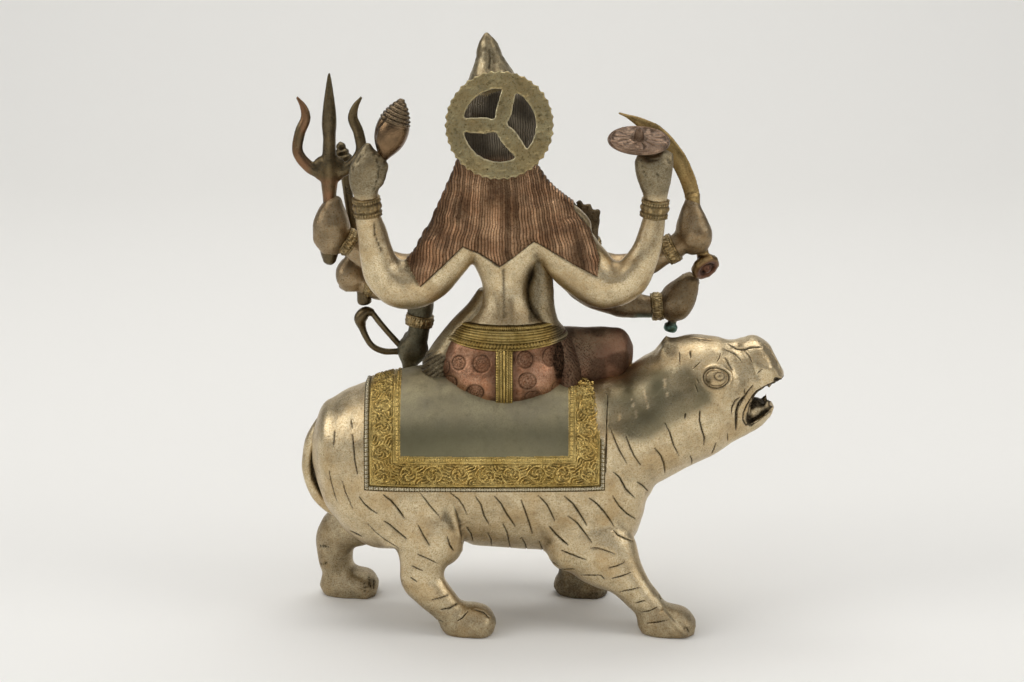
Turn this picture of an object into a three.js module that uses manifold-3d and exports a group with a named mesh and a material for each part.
// An eight-armed goddess seated on her tiger: a cast metal statuette in ten pieces.
// Millimetres, +Z up. The tiger looks along +X, the goddess looks along +Y.

import * as THREE from 'three';
import { mergeVertices } from 'three/addons/utils/BufferGeometryUtils.js';
import Module from 'manifold-3d';

const wasm = await Module();
wasm.setup();

// Driving dimensions of the two castings. Each is drawn on a grid of its own, and the rows of numbers
// further down are shares of that grid: 202 units in the tiger's length, 150 in the goddess's height.
const TIGER_LENGTH = 202;
const TIGER_GRID = 202;
const FIGURE_HEIGHT = 150;
const FIGURE_GRID = 150;
const SEAT_ON_TIGER = 100;
const SOLES_ON_TIGER = 1.9;

// Fits and coverings
const CLEARANCE = 0.3;
const CLOTH_THICKNESS = 0.9;
const BORDER_RAISE = 0.5;
const BORDER_WIDTH = 15;
const STRIPE_WIDTH = 0.9;
const STRIPE_DEPTH = 0.7;
const HAIR_THICKNESS = 0.9;
const BELT_THICKNESS = 1.3;
const BELT_HEIGHT = 8.6;
const STRAP_WIDTH = 7.5;
const STRAP_THICKNESS = 1.4;
const ROSETTE_RAISE = 0.5;
const BANGLE_WIDTH = 5;
const BANGLE_RAISE = 1;
const PEG_RADIUS = 2.2;
// The two castings are carved by cutting solids from solids. Corners that stand out less than this are
// dropped afterwards.
const CARVING_TOLERANCE = 0.05;

// Halo wheel
const HALO_RADIUS = 22;
const HALO_OPENING_RADIUS = 14.6;
const HALO_THICKNESS = 2.2;
const HALO_TOOTH = 0.9;
const HALO_TEETH = 40;
const HALO_SPOKES = [75, 180, 308].map(THREE.MathUtils.degToRad);
const HALO_SPOKE = 2.8;
const HALO_LEAN = 0.23;

// Things held in the hands
const TRIDENT_LENGTH = 80.5;
const TRIDENT_SPAN = 27;
const TRIDENT_PRONG = 42;
const TRIDENT_SHAFT = 2.8;
const MACE_LENGTH = 70.2;
const MACE_SHAFT = 2;
const MACE_HEAD_RADIUS = 4.4;
const MACE_HEAD_LENGTH = 13;
const CONCH_LENGTH = 27.3;
const CONCH_RADIUS = 6.7;
const BOW_THICKNESS = 1.35;
const BOW_STRING = 1.3;
const BOW_REACH = 21.6;
const SWORD_LENGTH = 54;
const BLADE_WIDTH = 6.4;
const BLADE_THICKNESS = 2.4;
const HILT_RADIUS = 2.6;
const POMMEL_RADIUS = 5;
const DISCUS_RADIUS = 12.7;
const DISCUS_THICKNESS = 1.8;
const LOTUS_RADIUS = 4.8;
const LOTUS_STEM = 1.9;

const tigerUnit = TIGER_LENGTH / TIGER_GRID;
const figureUnit = FIGURE_HEIGHT / FIGURE_GRID;
const onTiger = { unit: tigerUnit, origin: new THREE.Vector3(0, 0, 0) };
const onFigure = { unit: figureUnit, origin: new THREE.Vector3(0, 0, SEAT_ON_TIGER * tigerUnit) };
const ACROSS_Y = new THREE.Vector3(0, 1, 0);
const ACROSS_X = new THREE.Vector3(1, 0, 0);

// Solids and geometries

function solid(geometry) {
  const bare = geometry.clone();
  bare.deleteAttribute('normal');
  bare.deleteAttribute('uv');
  const merged = mergeVertices(bare, 1e-5);
  return new wasm.Manifold(new wasm.Mesh({
    numProp: 3,
    vertProperties: Float32Array.from(merged.attributes.position.array),
    triVerts: Uint32Array.from(merged.index.array),
  }));
}

function joined(solids) {
  return solids.reduce((whole, piece) => whole.add(piece));
}

function geometryOf(manifold) {
  const mesh = manifold.getMesh();
  const geometry = new THREE.BufferGeometry();
  geometry.setAttribute('position', new THREE.BufferAttribute(Float32Array.from(mesh.vertProperties), 3));
  geometry.setIndex(new THREE.BufferAttribute(Uint32Array.from(mesh.triVerts), 1));
  return geometry;
}

// A closed body along a route of rows. A row is x, y, z, half the size in the route's plane and half the
// size across it, in units of the frame. Power 2 is an ellipse, and more is squarer. Grow adds millimetres.
function loft(frame, rows, { sides = 10, across = ACROSS_Y, grow = 0, power = 2 } = {}) {
  const full = rows.map((row) => (row.length > 4 ? row : [...row, row[3]]));
  const centres = full.map((row) => new THREE.Vector3(row[0], row[1], row[2])
    .multiplyScalar(frame.unit).add(frame.origin));
  const positions = [];
  const indices = [];
  full.forEach((row, i) => {
    const ahead = centres[Math.min(i + 1, centres.length - 1)];
    const behind = centres[Math.max(i - 1, 0)];
    const along = ahead.clone().sub(behind).normalize();
    const wide = across.clone().addScaledVector(along, -across.dot(along)).normalize();
    const high = along.clone().cross(wide);
    for (let k = 0; k < sides; k += 1) {
      const angle = (2 * Math.PI * (k + 0.5)) / sides;
      const c = Math.sign(Math.cos(angle)) * Math.abs(Math.cos(angle)) ** (2 / power);
      const s = Math.sign(Math.sin(angle)) * Math.abs(Math.sin(angle)) ** (2 / power);
      const point = centres[i].clone()
        .addScaledVector(high, s * (row[3] * frame.unit + grow))
        .addScaledVector(wide, c * (row[4] * frame.unit + grow));
      positions.push(point.x, point.y, point.z);
    }
  });
  const rings = full.length;
  for (let i = 0; i < rings - 1; i += 1) {
    for (let k = 0; k < sides; k += 1) {
      const a = i * sides + k;
      const b = i * sides + ((k + 1) % sides);
      indices.push(a, b, b + sides, a, b + sides, a + sides);
    }
  }
  for (let k = 1; k < sides - 1; k += 1) {
    const last = (rings - 1) * sides;
    indices.push(0, k + 1, k, last, last + k, last + k + 1);
  }
  const geometry = new THREE.BufferGeometry();
  geometry.setAttribute('position', new THREE.Float32BufferAttribute(positions, 3));
  geometry.setIndex(indices);
  return solid(facingOut(geometry));
}

function facingOut(geometry) {
  const points = geometry.attributes.position;
  const index = geometry.index;
  const [a, b, c] = [new THREE.Vector3(), new THREE.Vector3(), new THREE.Vector3()];
  let volume = 0;
  for (let i = 0; i < index.count; i += 3) {
    a.fromBufferAttribute(points, index.getX(i));
    b.fromBufferAttribute(points, index.getX(i + 1));
    c.fromBufferAttribute(points, index.getX(i + 2));
    volume += a.dot(b.cross(c));
  }
  if (volume < 0) {
    const turned = Array.from(index.array);
    for (let i = 0; i < turned.length; i += 3) {
      [turned[i + 1], turned[i + 2]] = [turned[i + 2], turned[i + 1]];
    }
    geometry.setIndex(turned);
  }
  return geometry;
}

function point(frame, x, y, z) {
  return new THREE.Vector3(x, y, z).multiplyScalar(frame.unit).add(frame.origin);
}

// A ball or egg with its half sizes in units of the frame.
function egg(frame, [x, y, z], [rx, ry, rz], sides = 10) {
  const geometry = new THREE.SphereGeometry(1, sides, Math.ceil(sides * 0.6));
  geometry.scale(rx * frame.unit, ry * frame.unit, rz * frame.unit);
  geometry.translate(...point(frame, x, y, z));
  return solid(geometry);
}

// A prism with its outline in the XZ plane, in millimetres.
function prism(outline, yFrom, yTo) {
  const shape = new THREE.Shape(outline.map(([x, z]) => new THREE.Vector2(x, z)));
  const geometry = new THREE.ExtrudeGeometry(shape, { depth: yTo - yFrom, bevelEnabled: false });
  geometry.rotateX(Math.PI / 2);
  geometry.translate(0, yTo, 0);
  return solid(geometry);
}

function box([x0, x1], [y0, y1], [z0, z1]) {
  const geometry = new THREE.BoxGeometry(x1 - x0, y1 - y0, z1 - z0);
  geometry.translate((x0 + x1) / 2, (y0 + y1) / 2, (z0 + z1) / 2);
  return solid(geometry);
}

// A round bar between two points in millimetres, also used as a drill.
function bar(from, to, radius, sides = 8, endRadius = radius) {
  const length = from.distanceTo(to);
  const geometry = new THREE.CylinderGeometry(endRadius, radius, length, sides);
  const turn = new THREE.Quaternion()
    .setFromUnitVectors(ACROSS_Y, to.clone().sub(from).normalize());
  geometry.applyQuaternion(turn);
  geometry.translate(...from.clone().add(to).multiplyScalar(0.5));
  return solid(geometry);
}

// A closed body turned round an axis: radius and height of its profile, in millimetres.
function turned(profile, sides, foot, along) {
  const outline = profile.map(([radius, height]) => new THREE.Vector2(radius, height));
  const geometry = new THREE.LatheGeometry(outline, sides);
  geometry.applyQuaternion(new THREE.Quaternion().setFromUnitVectors(ACROSS_Y, along));
  geometry.translate(...foot);
  return solid(facingOut(mergeVertices(geometry)));
}

// Tiger

const TORSO = [
  [-84, 0, 75, 6, 4], [-81, 0, 74, 17, 12], [-74, 0, 71, 26.5, 19], [-63, 0, 68.5, 34.5, 24.5],
  [-46, 0, 70, 38, 27.5], [-25, 0, 72.5, 38.5, 28], [0, 0, 71.5, 39.5, 28], [20, 0, 69.5, 38.5, 27.5],
  [36, 0, 66, 36, 26], [48, 0, 62, 26.6, 22], [57.6, 0, 58.4, 14, 13], [60.6, 0, 56.6, 5, 5],
];
const NECK = [
  [34, 0, 70, 28, 22], [44, 0, 80.3, 27, 24.5], [56.1, 0, 85.6, 24, 24], [65.5, 0, 91.6, 24.8, 23],
  [73.5, 0, 96.1, 25.2, 22], [80.2, 0, 100.4, 25.2, 20.5], [86.9, 0, 102.4, 23.6, 18.5],
  [93.3, 0, 103.2, 20.6, 15.5], [98.6, 0, 107, 18.8, 13.5], [105, 0, 111, 15, 12.5],
  [108.6, 0, 113.6, 12, 10.5], [110.4, 0, 114.6, 6.4, 6.5],
];
const LEGS = [
  [[-42, -14, 60, 20, 12], [-39, -17, 43, 16.5, 11], [-37.5, -20, 33, 10.5, 8.5],
    [-36.6, -22, 25, 9, 7.4], [-31, -23.3, 16, 8.2, 7.2], [-21, -23.5, 5, 7, 7]],
  [[26, -10, 52, 20, 12], [33, -14, 40.5, 17, 12], [47.6, -20.6, 22.4, 9.8, 8.6], [64, -23.5, 5, 7, 7]],
  [[-54, 12, 54, 18, 11], [-64, 15, 40, 13, 10], [-76, 19, 29, 9, 8], [-77, 21, 20, 7.6, 7.4],
    [-73, 22, 5, 7, 7]],
  [[36, 12, 52, 17, 11], [33, 16, 37, 11.5, 9.5], [29.5, 20, 24, 8.8, 8], [27, 22, 5, 7, 7]],
];
const PAWS = [
  [[-29.5, -23.5, 5, 5, 5], [-23, -23.5, 6.5, 7.8, 8], [-15.5, -23.5, 6.3, 7.6, 9.4],
    [-10, -23.5, 4.8, 6, 8.4], [-7.6, -23.5, 4, 3.2, 5]],
  [[53.5, -23.5, 5, 5, 5], [59, -23.5, 6.5, 7.6, 8], [67, -23.5, 6, 7.4, 9.4],
    [73.6, -23.5, 4.6, 5.8, 8.4], [76.6, -23.5, 3.8, 3.2, 5]],
  [[-83, 22, 6.5, 5, 5], [-77, 22, 6.8, 8, 8], [-68, 22, 6, 7.4, 9.4],
    [-61.6, 22, 4.6, 5.8, 8.4], [-59, 22, 3.8, 3.2, 5]],
  [[19.5, 22, 5.5, 4.5, 5], [25, 22, 6.5, 7.6, 8], [33, 22, 5.6, 6.8, 9.4],
    [39, 22, 4.4, 5.4, 8.4], [41.6, 22, 3.6, 3, 5]],
];
const TAIL = [
  [-66, 2, 93.5, 3, 3.4], [-75, 2, 90, 3.2, 3.6], [-82.6, 2.5, 81.8, 3, 3.6], [-86.2, 3, 71, 2.6, 3.6],
  [-85.8, 3.5, 61, 2.6, 3.6], [-82.3, 4, 53, 2.8, 3.4], [-76, 5, 46.5, 2.8, 3.2], [-68, 6, 42, 2.4, 2.6],
];
const MOUTH = [
  [99.6, 88.6], [97.4, 90.4], [97.4, 93.4], [99, 98.2], [101.8, 101.6], [106.6, 104.4], [112, 106.2],
  [122, 108], [122, 98], [109.5, 97], [107.4, 94.4], [103.6, 91.4],
];
const JAW = [[95, 0, 85.6, 4.4, 9], [101, 0, 87.6, 3.9, 8.6], [105, 0, 90, 3.4, 7], [108.2, 0, 92.8, 2, 4.6]];
const TONGUE = { at: [101.4, 0, 92.4], half: [5, 6.4, 5] };
const EAR = [[61, 4, 117.4, 3.4, 2.6], [63.6, 4, 120.6, 2.8, 2.2], [65.2, 4.2, 123, 1.2, 1]];
const FANGS = [
  { from: [106.8, 5.2, 106.6], to: [107.6, 5.2, 102.4], radius: 1.5, tip: 0.4 },
  { from: [106.2, 4.2, 91], to: [107.8, 4.2, 96.8], radius: 1.9, tip: 0.9 },
];
const EYE = [84.2, 111];
const EYE_OUT = 17.6;
const EYE_TURN = 0.42;
const EYE_HALF = [5.3, 1.8, 4.6];
// Half sizes of the notch between two toes, and how far the notches stand from the paw's middle.
const TOE_NOTCH = [5, 0.7, 1.6];
const TOE_SPACING = 3;

// Rows of slanting strokes on the flanks: from x and z to x and z, how many, their slant in degrees at
// the first and last, and their length.
const STRIPE_ROWS = [
  [[-70, 56], [-62, 84], 2, [100, 104], 13],
  [[-42, 48], [42, 54], 5, [122, 128], 13],
  [[44, 69], [68, 82], 3, [112, 106], 13],
  [[50, 90], [72, 101], 2, [106, 100], 12],
];

function tigerTorso(grow = 0) {
  return loft(onTiger, TORSO, { sides: 14, grow, power: 2.15 });
}

function tigerNeck(grow = 0) {
  return loft(onTiger, NECK, { sides: 12, grow, power: 2.1 });
}

// The cloth over the back: a sheet over the torso, sunk between the raised borders of its flanks.
const CLOTH_ENDS = [-61, 38.4];
const CLOTH_HEM = 65;
const CLOTH_FIELD_TOP = 100;
// Past the tiger in every direction, for the boxes that cut it.
const BEYOND = 200;

function saddleCloth() {
  const [left, right] = CLOTH_ENDS.map((x) => x * tigerUnit);
  const hem = CLOTH_HEM * tigerUnit;
  const whole = tigerTorso(CLOTH_THICKNESS + BORDER_RAISE)
    .intersect(box([left, right], [-BEYOND, BEYOND], [hem, BEYOND]));
  const field = box(
    [left + BORDER_WIDTH, right - BORDER_WIDTH],
    [-BEYOND, BEYOND],
    [hem + BORDER_WIDTH, CLOTH_FIELD_TOP * tigerUnit],
  ).subtract(tigerTorso(CLOTH_THICKNESS));
  return whole.subtract(field);
}

function onSide([x, y, ...rest], side) {
  return [x, side * y, ...rest];
}

function tigerFace() {
  const pieces = [egg(onTiger, TONGUE.at, TONGUE.half, 6), loft(onTiger, JAW, { sides: 8 })];
  for (const side of [-1, 1]) {
    const eye = new THREE.SphereGeometry(tigerUnit, 8, 4);
    eye.scale(...EYE_HALF);
    eye.rotateZ(side * EYE_TURN);
    eye.translate(...point(onTiger, EYE[0], side * EYE_OUT, EYE[1]));
    pieces.push(solid(eye));
    pieces.push(loft(onTiger, EAR.map((row) => onSide(row, side)), { sides: 6 }));
    for (const { from, to, radius, tip } of FANGS) {
      const root = point(onTiger, ...onSide(from, side));
      const end = point(onTiger, ...onSide(to, side));
      pieces.push(bar(root, end, radius * tigerUnit, 5, tip * tigerUnit));
    }
  }
  return pieces;
}

// Two notches part the toes at the front of each paw, just behind its last row.
function toeNotches() {
  return PAWS.flatMap((rows) => [-1, 1].map((side) => {
    const [x, y, z, high] = rows[rows.length - 2];
    const notch = new THREE.OctahedronGeometry(tigerUnit);
    notch.scale(...TOE_NOTCH);
    notch.translate(...point(onTiger, x, y + side * TOE_SPACING, z + high * 0.8));
    return solid(notch);
  }));
}

// The skin of a body, for lines to be drawn to.
function targetOf(body) {
  return new THREE.Mesh(geometryOf(body), new THREE.MeshBasicMaterial({ side: THREE.DoubleSide }));
}

// Where a line along Y first meets the skin, and how the skin faces there.
function skinAt(mesh, x, z, side) {
  const ray = new THREE.Raycaster(new THREE.Vector3(x, side * BEYOND, z), new THREE.Vector3(0, -side, 0));
  const [hit] = ray.intersectObject(mesh);
  return hit ? { at: hit.point, facing: hit.face.normal } : null;
}

function stripeCutter(at, facing, slant, length) {
  const stroke = new THREE.Vector3(Math.cos(slant), 0, Math.sin(slant));
  stroke.addScaledVector(facing, -stroke.dot(facing)).normalize();
  const over = facing.clone().cross(stroke);
  const lens = new THREE.OctahedronGeometry(1);
  lens.scale(length / 2, STRIPE_WIDTH / 2, STRIPE_DEPTH);
  lens.applyMatrix4(new THREE.Matrix4().makeBasis(stroke, over, facing));
  lens.translate(at.x, at.y, at.z);
  return solid(lens);
}

function stripes(body) {
  const mesh = targetOf(body);
  const cutters = [];
  for (const side of [-1, 1]) {
    for (const [from, to, count, slants, length] of STRIPE_ROWS) {
      for (let i = 0; i < count; i += 1) {
        const u = i / (count - 1);
        const x = THREE.MathUtils.lerp(from[0], to[0], u) * tigerUnit;
        const z = THREE.MathUtils.lerp(from[1], to[1], u) * tigerUnit;
        const slant = THREE.MathUtils.degToRad(THREE.MathUtils.lerp(slants[0], slants[1], u));
        const skin = skinAt(mesh, x, z, side);
        if (skin) cutters.push(stripeCutter(skin.at, skin.facing, slant, length * tigerUnit));
      }
    }
  }
  return cutters;
}

function tigerGeometry() {
  const legs = LEGS.map((rows) => loft(onTiger, rows, { sides: 7 }));
  const paws = PAWS.map((rows) => loft(onTiger, rows, { sides: 6, power: 2.6 }));
  const mouth = prism(MOUTH.map(([x, z]) => [x * tigerUnit, z * tigerUnit]), -BEYOND, BEYOND);
  const bare = joined([tigerTorso(), tigerNeck().subtract(mouth), ...legs, ...paws]);
  const cuts = [...stripes(bare), ...toeNotches()];
  const carved = cuts.reduce((body, cut) => body.subtract(cut), bare);
  const tail = loft(onTiger, TAIL, { sides: 6 });
  const soles = SOLES_ON_TIGER * tigerUnit;
  const below = box([-BEYOND, BEYOND], [-BEYOND, BEYOND], [-BEYOND, soles]);
  const whole = joined([carved, tail, saddleCloth(), ...tigerFace()]).subtract(below);
  return geometryOf(whole.asOriginal().simplify(CARVING_TOLERANCE));
}

// Goddess

const BODY = [
  [-3, -1, -2, 19, 15.5], [-3, -1, 4, 24, 20.5], [-3.5, -1.5, 12, 26.8, 21], [-3, -1, 20, 25.6, 18.6],
  [-2, -1, 28, 20.4, 15], [-2.4, -1, 36, 12.8, 11], [-2.6, -0.5, 45, 9.8, 9], [-2.6, 0.3, 57, 14.8, 10.4],
  [-2.4, 0.5, 68, 24, 11.4], [-1.8, -0.5, 77, 28, 10.8], [-4.6, -3, 87, 20.6, 8.8], [-5.8, -4, 97, 14.6, 7.4],
];
const HEAD_HAIR = [
  [-5.8, -3.6, 92, 15.6, 7.6], [-5.6, -2.4, 101, 14, 9.4], [-5.5, -0.8, 110, 13.2, 11],
  [-5.8, 0, 120, 12.6, 11.6], [-6.5, 0.5, 129, 10.2, 10], [-7.8, 1, 136, 7, 7.4],
];
// Each arm ends at the wrist, where a bangle is put round it. An open hand goes on from there.
const MAIN_ARMS = [
  {
    arm: [[-12, -1, 75, 11, 9], [-23.4, -3, 67, 11.4, 9], [-31.4, -5, 57.6, 9.2, 8.6],
      [-37.8, -6, 50.2, 9.4, 8], [-45.6, -6.4, 47.6, 9.6, 8], [-53, -7, 53.4, 8.2, 7],
      [-56.6, -8, 64, 6.8, 6], [-59.2, -9.9, 85, 4.8, 4.6]],
    hand: [[-59.6, -10.4, 90.6, 6.4, 4.8], [-58.4, -10.6, 96, 7.2, 4.8], [-55.8, -11, 101, 6, 4.2],
      [-54.6, -11, 104, 3.6, 2.6]],
  },
  {
    arm: [[8, -1, 75, 11, 9], [19, -3, 68, 12, 9], [30, -5, 56.4, 11.2, 8.6], [41, -6, 47.2, 11.6, 8],
      [49.8, -7, 50.8, 9.4, 7], [55, -8, 60, 7, 6], [58.2, -9.9, 84.6, 4.8, 4.6]],
    hand: [[57.9, -10, 90, 6.6, 4.8], [57.4, -10, 97, 7.8, 4.8], [57.6, -10, 102, 6.4, 3.8]],
  },
];
const OTHER_ARMS = [
  {
    arm: [[-16, 6, 66, 8, 7], [-46, 17, 47, 6.8, 6.6], [-62, 17, 54.5, 5.2, 5.2],
      [-70.4, 16, 61.4, 4.6, 4.6]],
  },
  {
    arm: [[-15, 8, 68, 8, 7], [-43, 26, 38, 6.8, 6.6], [-55, 27, 37, 5.2, 5.2], [-63.6, 27, 40.4, 4.6, 4.6]],
  },
  {
    arm: [[-14, 9, 65, 8, 7], [-38, 24, 41, 6.6, 6.6], [-39.4, 25, 30, 5.4, 5.4], [-40, 25, 19, 4.8, 4.8]],
  },
  {
    arm: [[12, 6, 66, 8, 7], [42, 17, 47.6, 6.8, 6.6], [58, 17, 51.5, 5.6, 5.4], [69, 16, 58.4, 4.8, 4.8]],
  },
  {
    arm: [[11, 8, 68, 8, 7], [37, 24, 34.6, 6.8, 6.8], [50, 24, 31.2, 5.6, 5.6], [63, 23, 31, 4.8, 4.8]],
  },
  {
    arm: [[10, 9, 66, 8, 7], [32, 25, 44, 6.6, 6.6], [33, 25, 52, 5.4, 5.4], [32, 23, 60.5, 4.6, 4.6]],
    hand: [[31.6, 22, 65, 5.6, 3.2], [31, 21.4, 70, 5.4, 2.8], [28.4, 20.6, 77, 2.2, 1.4]],
  },
];
// The thumb behind the conch, and the finger under the discus.
const FINGERS = [
  [[-61, -10, 98.6, 3.2, 3], [-59.4, -10.4, 103.4, 2.6, 2.8], [-57.2, -11, 107, 1.6, 1.8]],
  [[53.4, -9.6, 97, 3.4, 3.2], [53, -9, 102, 2.6, 2.6], [52.6, -8.6, 105.8, 2, 2]],
];
const HAIR_EDGE = [
  [-37.3, 48.6], [-20, 64.6], [-5, 55.8], [9, 66.4], [34.8, 52.6], [37.4, 60], [38, 72], [33, 88], [28, 100],
  [28, 150], [-28, 150], [-28, 100], [-32, 88], [-38, 74], [-43, 58.4],
];
const THIGH = [
  [2, 4, 13, 13, 12], [16, 8, 12, 14, 13], [30, 10, 10.8, 14.2, 13.6], [41, 11, 10.6, 14, 13],
  [47.4, 12, 10.4, 12, 10], [50.4, 12, 10, 6.5, 6],
];
const SHIN = [
  [44, 20, 7, 9, 8], [34, 28, 5, 8.4, 8], [20, 34, 4.5, 7.4, 7], [8, 37, 4, 6.2, 6], [-4, 38.5, 3, 5.6, 5.6],
  [-13, 38, 1.5, 4, 5],
];
const HANGING_LEG = [
  [-14, 6, 13, 13, 13], [-15, 20, 13, 13, 13], [-15, 32, 9, 12, 12], [-14, 38.5, -1, 10, 11],
  [-12.4, 40.5, -14, 7.8, 8.4], [-10, 41.5, -34, 5.4, 5.4],
];
const HANGING_FOOT = [
  [-10.4, 40, -37, 5, 4.8], [-9, 44, -39.6, 4.8, 5], [-7, 49, -42.4, 3.6, 5.4], [-5.8, 53, -44.6, 1.8, 3.6],
];
const DRAPES = [
  [[-6, 1, 46, 3, 5], [-16.4, 1, 30, 6.6, 9.6], [-22.4, 0, 20, 7.6, 12], [-28, -2, 10, 8.6, 13],
    [-29, -3, 0, 7, 12]],
  [[8, 0, 62, 3, 5], [11.4, -1, 43.6, 4.8, 7.6], [12.6, -1, 34, 6.2, 9], [16, 0, 25, 7, 11],
    [21.6, -1, 6, 6, 12]],
];

// Pleats of the loose cloth, fanned out over the back of each hip: x and z of the first one's rows and of
// the last one's, with those between them evenly spaced. Each lies on the cloth under it.
const PLEATS = 3;
const PLEAT_FANS = [
  [[[-20.4, 28], [-25, 22], [-27.6, 17]], [[-26, 13], [-31, 7], [-33, 2]]],
  [[[17.6, 28], [21, 22], [23.2, 17]], [[21, 16], [24.6, 10], [26, 6]]],
];
const PLEAT_SIZES = [[1.2, 1.6], [1.7, 2], [1, 1.4]];

function pleats(cloth) {
  const mesh = targetOf(cloth);
  return PLEAT_FANS.flatMap(([first, last]) => Array.from({ length: PLEATS }, (_, i) => {
    const u = i / (PLEATS - 1);
    let depth = 0;
    const rows = first.map(([x, z], r) => {
      const across = THREE.MathUtils.lerp(x, last[r][0], u);
      const high = THREE.MathUtils.lerp(z, last[r][1], u);
      const place = point(onFigure, across, 0, high);
      const skin = skinAt(mesh, place.x, place.z, -1);
      // A pleat that runs past the cloth keeps the depth that it had.
      depth = skin ? skin.at.y : depth;
      return [place.x, depth, place.z, ...PLEAT_SIZES[r].map((size) => size * figureUnit)];
    });
    return loft(local(new THREE.Vector3()), rows, { sides: 4 });
  }));
}

// An arm with a bangle at its wrist: the last row moves back, steps out, comes again, and then goes on into
// the hand.
const INTO_HAND = 5;

function withBangle({ arm, hand }) {
  const wrist = arm[arm.length - 1];
  const before = arm[arm.length - 2];
  const length = Math.hypot(wrist[0] - before[0], wrist[1] - before[1], wrist[2] - before[2]) * figureUnit;
  const back = (distance) => (
    wrist.map((value, k) => (k < 3 ? THREE.MathUtils.lerp(value, before[k], distance / length) : value))
  );
  const wider = (row) => row.map((value, k) => (k < 3 ? value : value + BANGLE_RAISE / figureUnit));
  const start = back(BANGLE_WIDTH);
  return [...arm.slice(0, -1), start, wider(start), wider(wrist), ...(hand ?? [back(-INTO_HAND)])];
}

function figureBody(grow = 0) {
  return loft(onFigure, BODY, { sides: 12, grow });
}

function shoulders(grow = 0) {
  const arms = MAIN_ARMS.map((limb) => loft(onFigure, withBangle(limb), { sides: 8, grow }));
  return joined([figureBody(grow), loft(onFigure, HEAD_HAIR, { sides: 10, grow }), ...arms]);
}

// How far behind and before the middle of the body the hair reaches.
const HAIR_DEPTHS = [-50, 2];

// The hair lies over the back of the head, the shoulders and the upper arms, and ends in a zigzag.
function hairCape() {
  const outline = HAIR_EDGE.map(([x, z]) => {
    const edge = point(onFigure, x, 0, z);
    return [edge.x, edge.z];
  });
  const [back, front] = HAIR_DEPTHS.map((y) => y * figureUnit);
  return shoulders(HAIR_THICKNESS).intersect(prism(outline, back, front));
}

const BELT_AT = 23.4;
const STRAP_AT = -3.4;
const STRAP_DROP = 26;

function belt() {
  const bottom = point(onFigure, 0, 0, BELT_AT).z;
  const band = box([-BEYOND, BEYOND], [-BEYOND, BEYOND], [bottom, bottom + BELT_HEIGHT]);
  return figureBody(BELT_THICKNESS).intersect(band);
}

function strap() {
  const top = point(onFigure, STRAP_AT, 0, BELT_AT);
  const foot = point(onFigure, STRAP_AT, 0, BELT_AT - STRAP_DROP);
  const band = box(
    [top.x - STRAP_WIDTH / 2, top.x + STRAP_WIDTH / 2],
    [-BEYOND, 0],
    [foot.z, top.z + BELT_HEIGHT / 2],
  );
  return figureBody(STRAP_THICKNESS).intersect(band);
}

// Round flowers pressed into the skirt: x and z, and the radius.
const ROSETTES = [
  [-21.9, 18.1, 2.9], [-12.4, 17.7, 3.6], [5.9, 19.6, 3.3], [15.8, 20.2, 3.2], [6.3, 10.8, 3.5],
  [-15.2, 6.4, 3.3], [16.6, 9, 3.2],
];
const ROSETTE_DEPTH = 1.5;
// Radius of a flower's outer face as a share of that of its foot.
const ROSETTE_TAPER = 0.86;

function rosettes() {
  const mesh = targetOf(figureBody());
  return ROSETTES.map(([x, z, radius]) => {
    const centre = point(onFigure, x, 0, z);
    const skin = skinAt(mesh, centre.x, centre.z, -1);
    const out = skin.at.clone().addScaledVector(skin.facing, ROSETTE_RAISE);
    const inner = skin.at.clone().addScaledVector(skin.facing, -ROSETTE_DEPTH);
    return bar(inner, out, radius * figureUnit, 5, radius * ROSETTE_TAPER * figureUnit);
  });
}

// The face is a plain, calm one: an egg with a nose, lids, lips and ears by the usual thirds.
const FACE_CENTRE = [-5.4, 4.5, 112];
const FACE_HALF = [9.6, 10.6, 13];
const NECK_ROWS = [[0, -2, -22, 7, 6.6], [0, -2.4, -14, 6, 6], [0, -2, -6, 6, 6]];

function face() {
  const [x, y, z] = FACE_CENTRE;
  const third = FACE_HALF[2] / 3;
  // How far forward the face lies at a height above its middle, counted in thirds.
  const front = (thirds) => y + FACE_HALF[1] * Math.sqrt(1 - (thirds / 3) ** 2);
  const at = (across, ahead, thirds) => [x + across, front(thirds) + ahead, z + thirds * third];
  const pieces = [
    egg(onFigure, FACE_CENTRE, FACE_HALF, 8),
    loft(onFigure, NECK_ROWS.map(([dx, dy, dz, ...size]) => [x + dx, y + dy, z + dz, ...size]), { sides: 8 }),
    loft(onFigure, [
      [...at(0, -0.8, 1), 0.9, 1], [...at(0, 0, 0), 1.3, 1.2],
      [...at(0, 0.9, -0.7), 1.9, 1.5], [...at(0, 0, -1.05), 1.4, 1],
    ], { sides: 5 }),
    egg(onFigure, at(0, -0.5, -1.6), [2.8, 1.5, 1.1], 5),
    egg(onFigure, at(0, -0.9, -2.4), [3, 2.2, 1.8], 5),
  ];
  for (const side of [-1, 1]) {
    pieces.push(egg(onFigure, at(side * 3.9, -1.2, 0.35), [2.3, 1.2, 1.1], 5));
    pieces.push(egg(onFigure, [x + side * 9.2, y - 0.5, z - third * 0.9], [2.2, 2.2, 4.6], 5));
  }
  return pieces;
}

// Radius and height of the crown above the middle of the face, how it leans, and its three front leaves.
const CROWN = [
  [0, 10], [10.8, 10], [11.2, 14], [8.2, 17.5], [8.8, 19.5], [7.4, 23.4], [4.6, 28.4], [5.5, 31],
  [4.6, 34], [2.2, 36.8], [0, 38],
];
const CROWN_BACK = 2.4;
const CROWN_LEAN = [-0.1, -0.03];
const LEAF_TURN = 0.9;
const LEAF_BACK = 1;
const LEAF = [[10, 9, 1.4, 3.6], [10.4, 14, 1.4, 3.4], [8.6, 20, 0.8, 1]];

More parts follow.
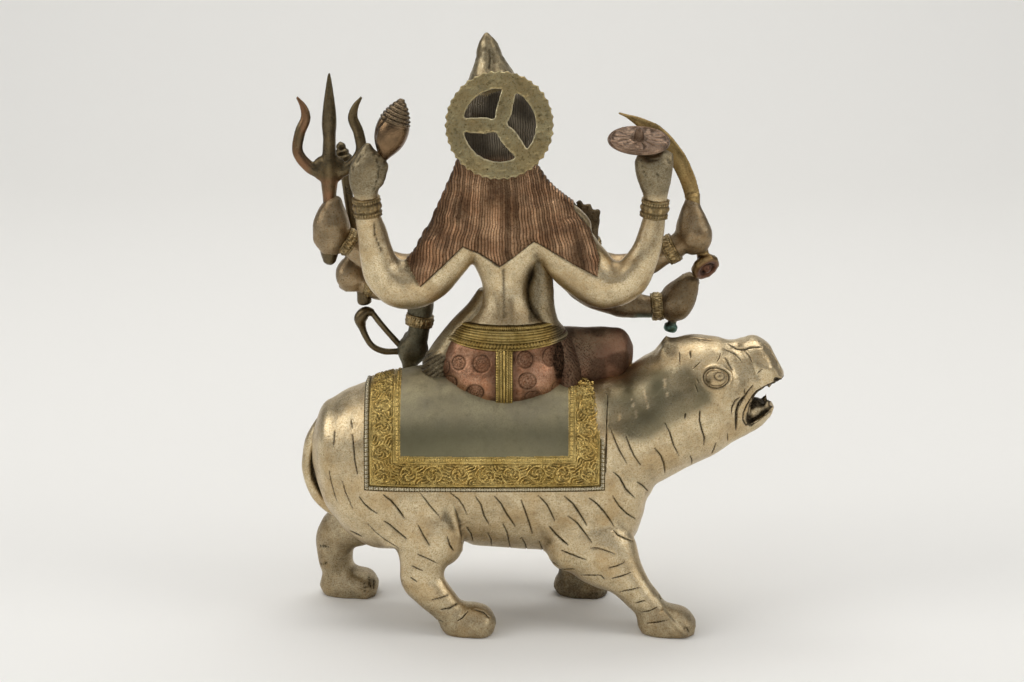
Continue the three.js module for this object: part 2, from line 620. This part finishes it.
function crown() {
  const [x, y, z] = FACE_CENTRE;
  const profile = CROWN.map(([radius, height]) => (
    new THREE.Vector2(radius * figureUnit, height * figureUnit)
  ));
  const geometry = new THREE.LatheGeometry(profile, 8);
  geometry.rotateX(Math.PI / 2);
  geometry.applyMatrix4(new THREE.Matrix4().makeShear(0, 0, 0, 0, ...CROWN_LEAN));
  geometry.translate(...point(onFigure, x, y - CROWN_BACK, z));
  const leaves = [-LEAF_TURN, 0, LEAF_TURN].map((turn) => {
    const rows = LEAF.map(([out, high, thick, wide]) => (
      [x - out * Math.sin(turn), y - LEAF_BACK + out * Math.cos(turn), z + high, thick, wide]
    ));
    return loft(onFigure, rows, { sides: 4, across: ACROSS_X });
  });
  return [solid(facingOut(mergeVertices(geometry))), ...leaves];
}

const BREAST = { at: [7.4, 9, 66], radius: 6.6, middle: -1.6 };
const COLLAR = { at: [-3.6, 3, 84], radius: 9.5, thick: 1.5, wide: 1.15, dip: -0.55 };

function chest() {
  const [out, ahead, high] = BREAST.at;
  const half = [BREAST.radius, BREAST.radius, BREAST.radius];
  const pieces = [-1, 1].map((side) => egg(onFigure, [BREAST.middle + side * out, ahead, high], half, 7));
  const collar = new THREE.TorusGeometry(COLLAR.radius * figureUnit, COLLAR.thick * figureUnit, 4, 10);
  collar.scale(COLLAR.wide, 1, 1);
  collar.rotateX(COLLAR.dip);
  collar.translate(...point(onFigure, ...COLLAR.at));
  pieces.push(solid(collar));
  return pieces;
}

const FISTS = [
  [[-76.4, 16, 55.6], [-75.6, 16, 66.4], [-74.4, 16, 77.4], [6.4, 8, 5.4]],
  [[-68, 27, 37], [-68.4, 27, 44], [-67.6, 27, 51], [5.6, 6.6, 4.8]],
  [[-40.4, 25, 18], [-42.4, 25.4, 11.4], [-44, 25.4, 4.4], [4.8, 6.6, 4.4]],
  [[78, 16, 56], [76, 16, 64.6], [74.8, 16, 78], [6, 7.4, 4]],
  [[67, 23, 27.6], [71.4, 23, 34.6], [75.4, 23, 43], [6.4, 7.6, 5]],
];

function fists() {
  return FISTS.map(([from, middle, to, [low, mid, high]]) => loft(onFigure, [
    [...from, low * 0.6, low * 0.6],
    [...from.map((v, k) => (v + middle[k]) / 2), (low + mid) / 2, (low + mid) / 2.1],
    [...middle, mid, mid * 0.95],
    [...to.map((v, k) => (v + middle[k]) / 2), (mid + high) / 2, (mid + high) / 2.1],
    [...to, high * 0.7, high * 0.7],
  ], { sides: 6 }));
}

// The things held, each with its grip, its drill for the fist and its own solid

function between(frame, from, to) {
  const start = point(frame, ...from);
  const end = point(frame, ...to);
  return { start, along: end.clone().sub(start).normalize() };
}

function local(grip, unit = 1) {
  return { unit, origin: grip };
}

const TRIDENT_GRIP = between(onFigure, [-76.6, 16, 51.4], [-75.2, 16, 132]);
// A side prong: share of the half span, height above the fork, and half its width and thickness.
const PRONG = [
  [0.62, 2.6, 2.6, 2.2], [0.96, 8.6, 2.3, 2], [0.9, 17, 2.3, 1.9], [0.72, 23.6, 2.1, 1.6],
  [0.8, 28, 1.4, 1.2], [1, 32, 0.5, 0.5],
];
const TRIDENT_SPEAR = 3.1;
const TRIDENT_POINT = 20;
// Where the socket under the fork begins, how much wider it gets, and where the middle prong sets out.
const TRIDENT_SOCKET = 11;
const TRIDENT_SWELL = 1.5;
const TRIDENT_NECK = 8;

function trident() {
  const frame = local(TRIDENT_GRIP.start);
  const fork = TRIDENT_LENGTH - TRIDENT_PRONG;
  const half = TRIDENT_SPAN / 2;
  const tip = TRIDENT_LENGTH;
  const axis = (height) => TRIDENT_GRIP.along.x * height;
  const prongs = [-1, 1].map((side) => loft(frame, [
    [axis(fork) - side * 1.5, 0, fork - 1, 3, 2.4],
    ...PRONG.map(([share, rise, wide, thick]) => (
      [axis(fork) + side * half * share, 0, fork + rise, wide, thick]
    )),
  ], { sides: 6 }));
  const shaft = loft(frame, [
    [0, 0, 0, TRIDENT_SHAFT],
    [axis(fork - TRIDENT_SOCKET), 0, fork - TRIDENT_SOCKET, TRIDENT_SHAFT],
    [axis(fork), 0, fork, TRIDENT_SHAFT * TRIDENT_SWELL],
    [axis(fork + TRIDENT_NECK), 0, fork + TRIDENT_NECK, TRIDENT_SPEAR],
    [axis(tip - TRIDENT_POINT), 0, tip - TRIDENT_POINT, TRIDENT_SPEAR], [axis(tip), 0, tip, 0.6],
  ], { sides: 8 });
  return joined([shaft, ...prongs]);
}

const MACE_GRIP = between(onFigure, [-62.7, 27, 30.8], [-72, 27, 101]);

const MACE_KNOB = 1.8;
const MACE_KNOB_RADIUS = 3.2;
const MACE_RIBS = 4;
const MACE_GROOVE = 0.5;

// The ribs of the head swell towards its middle and are parted by grooves.
function mace() {
  const { start, along } = MACE_GRIP;
  const rows = [[0, MACE_KNOB_RADIUS], [MACE_KNOB, MACE_KNOB_RADIUS], [MACE_KNOB, MACE_SHAFT]];
  const pitch = MACE_HEAD_LENGTH / MACE_RIBS;
  for (let i = 0; i < MACE_RIBS; i += 1) {
    const low = MACE_LENGTH - MACE_HEAD_LENGTH + i * pitch;
    const swell = MACE_HEAD_RADIUS * (0.6 + 0.4 * Math.sin((Math.PI * (i + 1)) / (MACE_RIBS + 1)));
    rows.push([low, swell - MACE_GROOVE * 2], [low + MACE_GROOVE, swell], [low + pitch - MACE_GROOVE, swell]);
  }
  const profile = [[0, 0], ...rows.map(([height, radius]) => [radius, height]), [0, MACE_LENGTH]];
  return turned(profile, 8, start, along);
}

const CONCH_GRIP = between(onFigure, [-52.6, -11, 99.4], [-44, -11, 125.4]);

function conch(grow = 0) {
  const { start, along } = CONCH_GRIP;
  const profile = [
    [0, 0.14], [0.12, 0.3], [0.3, 0.74], [0.54, 1], [0.68, 0.92], [0.7, 0.8], [0.78, 0.74],
    [0.8, 0.6], [0.88, 0.5], [0.9, 0.34], [1, 0.08],
  ];
  return loft(local(start), profile.map(([u, radius]) => [
    along.x * CONCH_LENGTH * u, along.y * CONCH_LENGTH * u, along.z * CONCH_LENGTH * u,
    CONCH_RADIUS * radius, CONCH_RADIUS * radius,
  ]), { sides: 10, grow });
}

const BOW_GRIP = point(onFigure, -43, 25.4, 10);
// Shares of the reach outwards and upwards from the grip, and shares of the thickness.
const BOW_LIMB = [
  [0, 0, 1], [0.29, 0.02, 1], [0.57, 0.03, 1], [0.77, 0.13, 1], [0.89, 0.31, 1], [0.97, 0.51, 1.25],
  [1, 0.7, 2.1], [0.88, 0.83, 1.8], [0.74, 0.82, 1],
];
const BOW_CORD = [[0.78, 0.83, 1], [0.58, 0.56, 1], [0.2, 0.11, 1]];
// One limb goes out to the side, and the other goes forward, foreshortened.
const BOW_LIMBS = [
  { out: new THREE.Vector3(-1, 0, 0), height: 1, across: ACROSS_Y },
  { out: new THREE.Vector3(0.16, 0.85, 0), height: 0.5, across: ACROSS_X },
];

function bow(grow = 0) {
  return joined(BOW_LIMBS.flatMap(({ out, height, across }) => (
    [[BOW_LIMB, BOW_THICKNESS], [BOW_CORD, BOW_STRING]].map(([rows, thickness]) => (
      loft(local(BOW_GRIP), rows.map(([away, up, share]) => [
        out.x * BOW_REACH * away, out.y * BOW_REACH * away, BOW_REACH * height * up, thickness * share,
      ]), { sides: 5, grow, across })
    ))
  )));
}

const SWORD_GRIP = between(onFigure, [81, 16, 50], [75.2, 16, 80]);

const HILT_LENGTH = 30;
const BLADE_BEND = 1.15;
const BLADE_ROWS = 7;
// From this share of its length on, the blade narrows to its tip.
const BLADE_TAPER = 0.7;
const POMMEL_FACING = new THREE.Vector3(0.45, -0.72, -0.53).normalize();
const POMMEL_HALF = 1.6;

function sword() {
  const { start, along } = SWORD_GRIP;
  const guard = start.clone().addScaledVector(along, HILT_LENGTH * figureUnit);
  const radius = SWORD_LENGTH / BLADE_BEND;
  const lean = Math.atan2(-along.x, along.z);
  const rows = [];
  for (let i = 0; i < BLADE_ROWS; i += 1) {
    const u = i / (BLADE_ROWS - 1);
    const forward = radius * Math.sin(BLADE_BEND * u);
    const sideways = radius * (1 - Math.cos(BLADE_BEND * u));
    const width = (BLADE_WIDTH / 2) * (u < BLADE_TAPER ? 1 : Math.max(0.1, (1 - u) / (1 - BLADE_TAPER)));
    rows.push([
      -Math.sin(lean) * forward - Math.cos(lean) * sideways, 0,
      Math.cos(lean) * forward - Math.sin(lean) * sideways, width, BLADE_THICKNESS / 2,
    ]);
  }
  return joined([
    loft(local(guard), rows, { sides: 6 }),
    bar(start, guard.clone().addScaledVector(along, 1.5), HILT_RADIUS, 8),
    bar(
      start.clone().addScaledVector(POMMEL_FACING, -POMMEL_HALF),
      start.clone().addScaledVector(POMMEL_FACING, POMMEL_HALF),
      POMMEL_RADIUS,
      10,
    ),
  ]);
}

const DISCUS_HUB = point(onFigure, 51.2, -8, 107);
const DISCUS_FACING = new THREE.Vector3(0.03, -0.26, 0.96).normalize();

// Radius and height of the disc with its bevelled rim, and of the boss that tapers to a blunt point, as
// shares of its radius and thickness.
const DISC = [[0, 0], [0.94, 0], [1, 0.5], [0.94, 1], [0.16, 1], [0.1, 3.2], [0, 3.2]];

function discus() {
  const profile = DISC.map(([radius, height]) => [radius * DISCUS_RADIUS, height * DISCUS_THICKNESS]);
  return turned(profile, 18, DISCUS_HUB, DISCUS_FACING);
}

const LOTUS_GRIP = between(onFigure, [67.2, 23, 20.4], [72.4, 23.6, 40]);
const LOTUS_BEND = LOTUS_GRIP.start.clone().addScaledVector(LOTUS_GRIP.along, 17 * figureUnit);
const LOTUS_HEART = LOTUS_BEND.clone().add(new THREE.Vector3(3.6, 12, 0.6).multiplyScalar(figureUnit));
// Radius and height of the bud, as shares of the lotus's radius.
const BUD = [[0, -0.1], [0.5, 0.1], [1, 0.8], [0.85, 1.3], [0.4, 1.8], [0, 2]];
const LOTUS_KNOB = { length: 3, radius: 2.85 };

function lotusStem(grow = 0) {
  const radius = LOTUS_STEM + grow;
  return joined([
    bar(LOTUS_GRIP.start, LOTUS_BEND, radius, 6),
    bar(LOTUS_BEND, LOTUS_HEART, radius, 6),
    solid(new THREE.IcosahedronGeometry(radius * 1.15, 0).translate(...LOTUS_BEND)),
  ]);
}

function lotus() {
  const { start, along } = LOTUS_GRIP;
  const bud = BUD.map(([radius, height]) => [radius * LOTUS_RADIUS, height * LOTUS_RADIUS]);
  return joined([
    lotusStem(),
    bar(start, start.clone().addScaledVector(along, LOTUS_KNOB.length), LOTUS_KNOB.radius, 6),
    turned(bud, 8, LOTUS_HEART, LOTUS_HEART.clone().sub(LOTUS_BEND).normalize()),
  ]);
}

// Halo wheel, leaning back by HALO_LEAN, and the peg that carries it

const HALO_CENTRE = point(onFigure, -5, -15.6, 115.4);
const HALO_RIM_STEPS = 8;
const HALO_HUB_STEPS = 5;
const HALO_HUB_ROUNDING = 0.7;

function haloGeometry() {
  const shape = new THREE.Shape();
  for (let i = 0; i < HALO_TEETH * 2; i += 1) {
    const angle = (Math.PI * i) / HALO_TEETH;
    const radius = HALO_RADIUS - (i % 2 ? HALO_TOOTH : 0);
    const [x, y] = [radius * Math.cos(angle), radius * Math.sin(angle)];
    if (i === 0) shape.moveTo(x, y);
    else shape.lineTo(x, y);
  }
  const inset = HALO_SPOKE / HALO_OPENING_RADIUS;
  HALO_SPOKES.forEach((spoke, i) => {
    const from = spoke + inset;
    const to = HALO_SPOKES[(i + 1) % 3] + (i === 2 ? 2 * Math.PI : 0) - inset;
    const outline = [];
    for (let k = 0; k <= HALO_RIM_STEPS; k += 1) {
      outline.push([THREE.MathUtils.lerp(from, to, k / HALO_RIM_STEPS), HALO_OPENING_RADIUS]);
    }
    // The way back to the start runs along the spokes, rounded at the hub.
    for (let k = 1; k < HALO_HUB_STEPS; k += 1) {
      const u = k / HALO_HUB_STEPS;
      const depth = Math.sin(Math.PI * u) ** HALO_HUB_ROUNDING;
      const radius = THREE.MathUtils.lerp(HALO_OPENING_RADIUS, HALO_SPOKE * 1.1, depth);
      outline.push([THREE.MathUtils.lerp(to, from, u), radius]);
    }
    shape.holes.push(new THREE.Path(outline.map(([angle, radius]) => (
      new THREE.Vector2(radius * Math.cos(angle), radius * Math.sin(angle))
    ))));
  });
  const geometry = new THREE.ExtrudeGeometry(shape, { depth: HALO_THICKNESS, bevelEnabled: false });
  geometry.deleteAttribute('normal');
  geometry.deleteAttribute('uv');
  return mergeVertices(geometry, 1e-5);
}

// The wheel's own frame: its disc lies in local X and Y, and local +Z points out behind the head.
const haloPlace = new THREE.Object3D();
haloPlace.position.copy(HALO_CENTRE);
haloPlace.rotation.set(Math.PI / 2 - HALO_LEAN, 0, 0);
haloPlace.updateMatrix();
const HALO_OUT = new THREE.Vector3(0, 0, 1).applyQuaternion(haloPlace.quaternion);

// The peg reaches this far into the back of the head.
const PEG_LENGTH = 14;

function haloPeg() {
  const root = HALO_CENTRE.clone().addScaledVector(HALO_OUT, -PEG_LENGTH * figureUnit);
  const end = HALO_CENTRE.clone().addScaledVector(HALO_OUT, -CLEARANCE);
  return bar(root, end, PEG_RADIUS, 8);
}

// A hole through a fist for what it holds, from past the fist's foot to past its top.
const DRILL_LENGTH = 34;
const DRILL_START = -4;

function drill({ start, along }, radius) {
  const from = start.clone().addScaledVector(along, DRILL_START * figureUnit);
  const to = start.clone().addScaledVector(along, DRILL_LENGTH * figureUnit);
  return bar(from, to, radius, 8);
}

function goddessGeometry() {
  const limbs = [THIGH, SHIN].map((rows) => loft(onFigure, rows, { sides: 6 }));
  const hanging = loft(onFigure, HANGING_LEG, { sides: 6, across: ACROSS_X });
  const foot = loft(onFigure, HANGING_FOOT, { sides: 6, across: ACROSS_X });
  const arms = OTHER_ARMS.map((limb) => loft(onFigure, withBangle(limb), { sides: 6 }));
  const fingers = FINGERS.map((rows) => loft(onFigure, rows, { sides: 5 }));
  const drapes = DRAPES.map((rows) => loft(onFigure, rows, { sides: 6 }));
  const cloth = joined([figureBody(), ...drapes]);
  const whole = joined([
    shoulders(), hairCape(), belt(), strap(), ...rosettes(), ...limbs, hanging, foot, ...arms, ...drapes,
    ...pleats(cloth), ...face(), ...crown(), ...chest(), ...fists(), ...fingers, haloPeg(),
  ]);
  const cuts = [
    tigerTorso(CLOTH_THICKNESS + BORDER_RAISE + CLEARANCE),
    tigerNeck(CLEARANCE),
    drill(TRIDENT_GRIP, TRIDENT_SHAFT + CLEARANCE),
    drill(MACE_GRIP, MACE_SHAFT + CLEARANCE),
    drill(SWORD_GRIP, HILT_RADIUS + CLEARANCE),
    lotusStem(CLEARANCE),
    conch(CLEARANCE),
    bow(CLEARANCE),
  ];
  const carved = cuts.reduce((body, cut) => body.subtract(cut), whole);
  return geometryOf(carved.asOriginal().simplify(CARVING_TOLERANCE));
}

// The statuette

function metal(color, roughness) {
  return new THREE.MeshStandardMaterial({ color, roughness, metalness: 1 });
}

const nickel = metal(0xa79c86, 0.38);
const copper = metal(0x9a5a41, 0.42);
const bronze = metal(0x6b5d49, 0.46);
const brass = metal(0xa98c46, 0.42);

function named(name, geometry, material) {
  const mesh = new THREE.Mesh(geometry, material);
  mesh.name = name;
  return mesh;
}

const statuette = new THREE.Group();
const halo = named('halo_wheel', haloGeometry(), bronze);
halo.position.copy(haloPlace.position);
halo.quaternion.copy(haloPlace.quaternion);
statuette.add(
  named('tiger', tigerGeometry(), nickel),
  named('goddess', goddessGeometry(), nickel),
  halo,
  named('trident', geometryOf(trident()), bronze),
  named('conch', geometryOf(conch()), copper),
  named('mace', geometryOf(mace()), bronze),
  named('bow', geometryOf(bow()), bronze),
  named('sword', geometryOf(sword()), brass),
  named('discus', geometryOf(discus()), bronze),
  named('lotus', geometryOf(lotus()), bronze),
);

// The origin goes under the middle of the whole, at the floor.
const extent = new THREE.Box3().setFromObject(statuette);
const middle = extent.getCenter(new THREE.Vector3());
statuette.position.set(-middle.x, -middle.y, -extent.min.z);

export default statuette;
